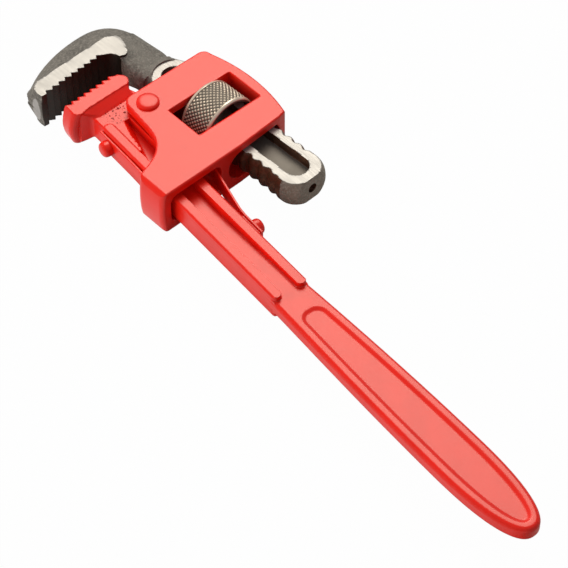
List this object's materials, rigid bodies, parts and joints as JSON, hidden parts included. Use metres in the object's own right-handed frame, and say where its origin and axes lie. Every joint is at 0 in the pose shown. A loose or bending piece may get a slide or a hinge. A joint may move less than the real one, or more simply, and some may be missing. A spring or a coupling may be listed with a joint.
{
  "type": "pipe wrench",
  "caption": "Straight pipe wrench with a hooked sliding jaw, a knurled adjusting nut in a rocking frame, leaf springs and a long flat grip.",
  "frame": {"origin": "on the axis of the gripped pipe, midway between the two rows of teeth and at the middle of the wrench's thickness", "axes": "+X from the hook jaw towards the grip, square to the pipe; +Y from the jaws' open end towards the shank; +Z along the pipe's axis, out of the wrench's broad face"},
  "size_m": [0.3262, 0.0876, 0.0292],
  "materials": {
    "red_enamel": "glossy enamel over a casting",
    "forged_steel": "forged, with ground cheeks and milled flats",
    "nut_steel": "knurled"
  },
  "bodies": {
    "handle_body": {"handle": "red_enamel", "front_spring": "red_enamel", "rear_spring": "red_enamel", "front_spring_rivet": "red_enamel", "rear_spring_rivet": "red_enamel"},
    "frame_body": {"frame": "red_enamel", "pivot_rivet": "red_enamel"},
    "jaw_body": {"hook_jaw": "forged_steel"},
    "nut_body": {"adjusting_nut": "nut_steel"}
  },
  "joints": [
    {"name": "frame_rock", "type": "hinge", "parent": "handle_body", "child": "frame_body", "pos_m": [0.031, 0.0129, 0], "axis": [0, 0, 1], "range_deg": [-5, 1.5], "stiffness_Nm_per_rad": 5, "deforming": ["front_spring", "rear_spring"]},
    {"name": "jaw_slide", "type": "slide", "parent": "frame_body", "child": "jaw_body", "axis": [0.9994, 0.0349, 0], "range_m": [-0.042, 0.009]},
    {"name": "nut_spin", "type": "hinge", "parent": "frame_body", "child": "nut_body", "pos_m": [0.04966, 0.03642, 0], "axis": [0.9994, 0.0349, 0], "range_deg": [-2522, 542]}
  ],
  "couplings": [
    {"joint": "nut_spin", "follows": "jaw_slide", "rad_per_m": 1047.2}
  ]
}
